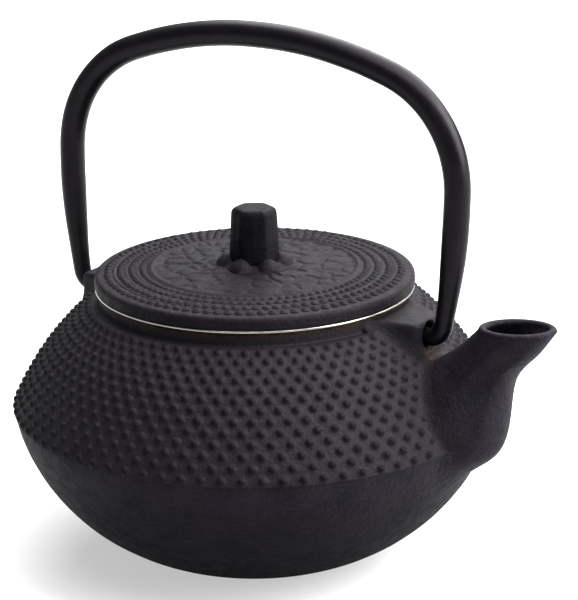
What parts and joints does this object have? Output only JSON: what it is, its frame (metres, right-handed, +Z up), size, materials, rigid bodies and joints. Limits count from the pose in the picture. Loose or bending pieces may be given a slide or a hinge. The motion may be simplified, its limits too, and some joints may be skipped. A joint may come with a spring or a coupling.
{
  "type": "teapot",
  "caption": "Low round cast-iron teapot with a hobnail shoulder, short flared spout, swinging bail handle, lift-off lid with a hexagonal knob and a lift-out steel mesh infuser.",
  "frame": {"origin": "centre of the flat base, on the axis that the bowl, collar, infuser and lid are turned about", "axes": "+Z up along the pot's axis, +X towards the spout, the bail swings about a line parallel to X"},
  "size_m": [0.1369, 0.1178, 0.1286],
  "materials": {
    "cast_iron_pot": "matt black coating on sand-cast iron, fine grain",
    "cast_iron_lid": "matt black coating on sand-cast iron, fine grain",
    "cast_iron_knob": "matt black coating on sand-cast iron, fine grain",
    "coated_steel_handle": "smooth satin black coating on a round steel rod",
    "black_enamel": "glossy black vitreous enamel",
    "stainless_steel": "bright pressed stainless steel",
    "stainless_mesh": "fine woven stainless mesh"
  },
  "bodies": {
    "pot": {"pot_body": "cast_iron_pot", "enamel_lining": "black_enamel"},
    "bail": {"handle": "coated_steel_handle"},
    "infuser": {"infuser_rim": "stainless_steel", "infuser_mesh_wall": "stainless_mesh", "infuser_base_band": "stainless_steel", "infuser_base_mesh": "stainless_mesh"},
    "lid": {"lid_plate": "cast_iron_lid", "knob_seat": "cast_iron_lid", "lid_knob": "cast_iron_knob", "knob_washer": "stainless_steel"}
  },
  "joints": [
    {"name": "bail_swing", "type": "hinge", "parent": "pot", "child": "bail", "pos_m": [0, 0, 0.05915], "axis": [1, 0, 0], "range_deg": [-100, 105]},
    {"name": "infuser_lift", "type": "slide", "parent": "pot", "child": "infuser", "axis": [0, 0, 1], "range_m": [0, 0.036]},
    {"name": "lid_lift", "type": "slide", "parent": "infuser", "child": "lid", "axis": [0, 0, 1], "range_m": [0, 0.036]}
  ]
}
